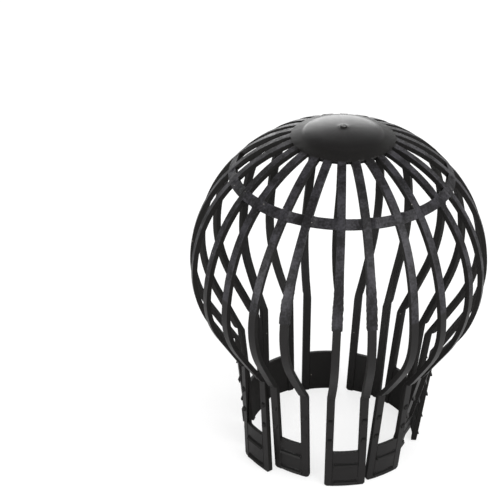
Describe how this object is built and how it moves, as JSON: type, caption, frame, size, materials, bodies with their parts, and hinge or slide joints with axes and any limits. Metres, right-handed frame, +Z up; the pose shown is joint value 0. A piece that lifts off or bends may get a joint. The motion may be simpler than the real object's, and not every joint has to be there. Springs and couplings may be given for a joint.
{
  "type": "downpipe leaf filter",
  "caption": "Balloon-shaped cage of paired ribs with a hoop and domed crown, on a tapered neck of barbed springy feet that plugs into a downpipe and keeps leaves out.",
  "frame": {"origin": "on the axis, at the ends of the feet that it stands on", "axes": "+Z up along the axis towards the crown, -Y towards the foot that faces the viewer"},
  "size_m": [0.1296, 0.1296, 0.1572],
  "materials": {
    "polypropylene": "black moulded polypropylene, grained on the upper ribs and satin elsewhere"
  },
  "bodies": {
    "root": {"leaf_filter": "polypropylene"}
  },
  "joints": []
}
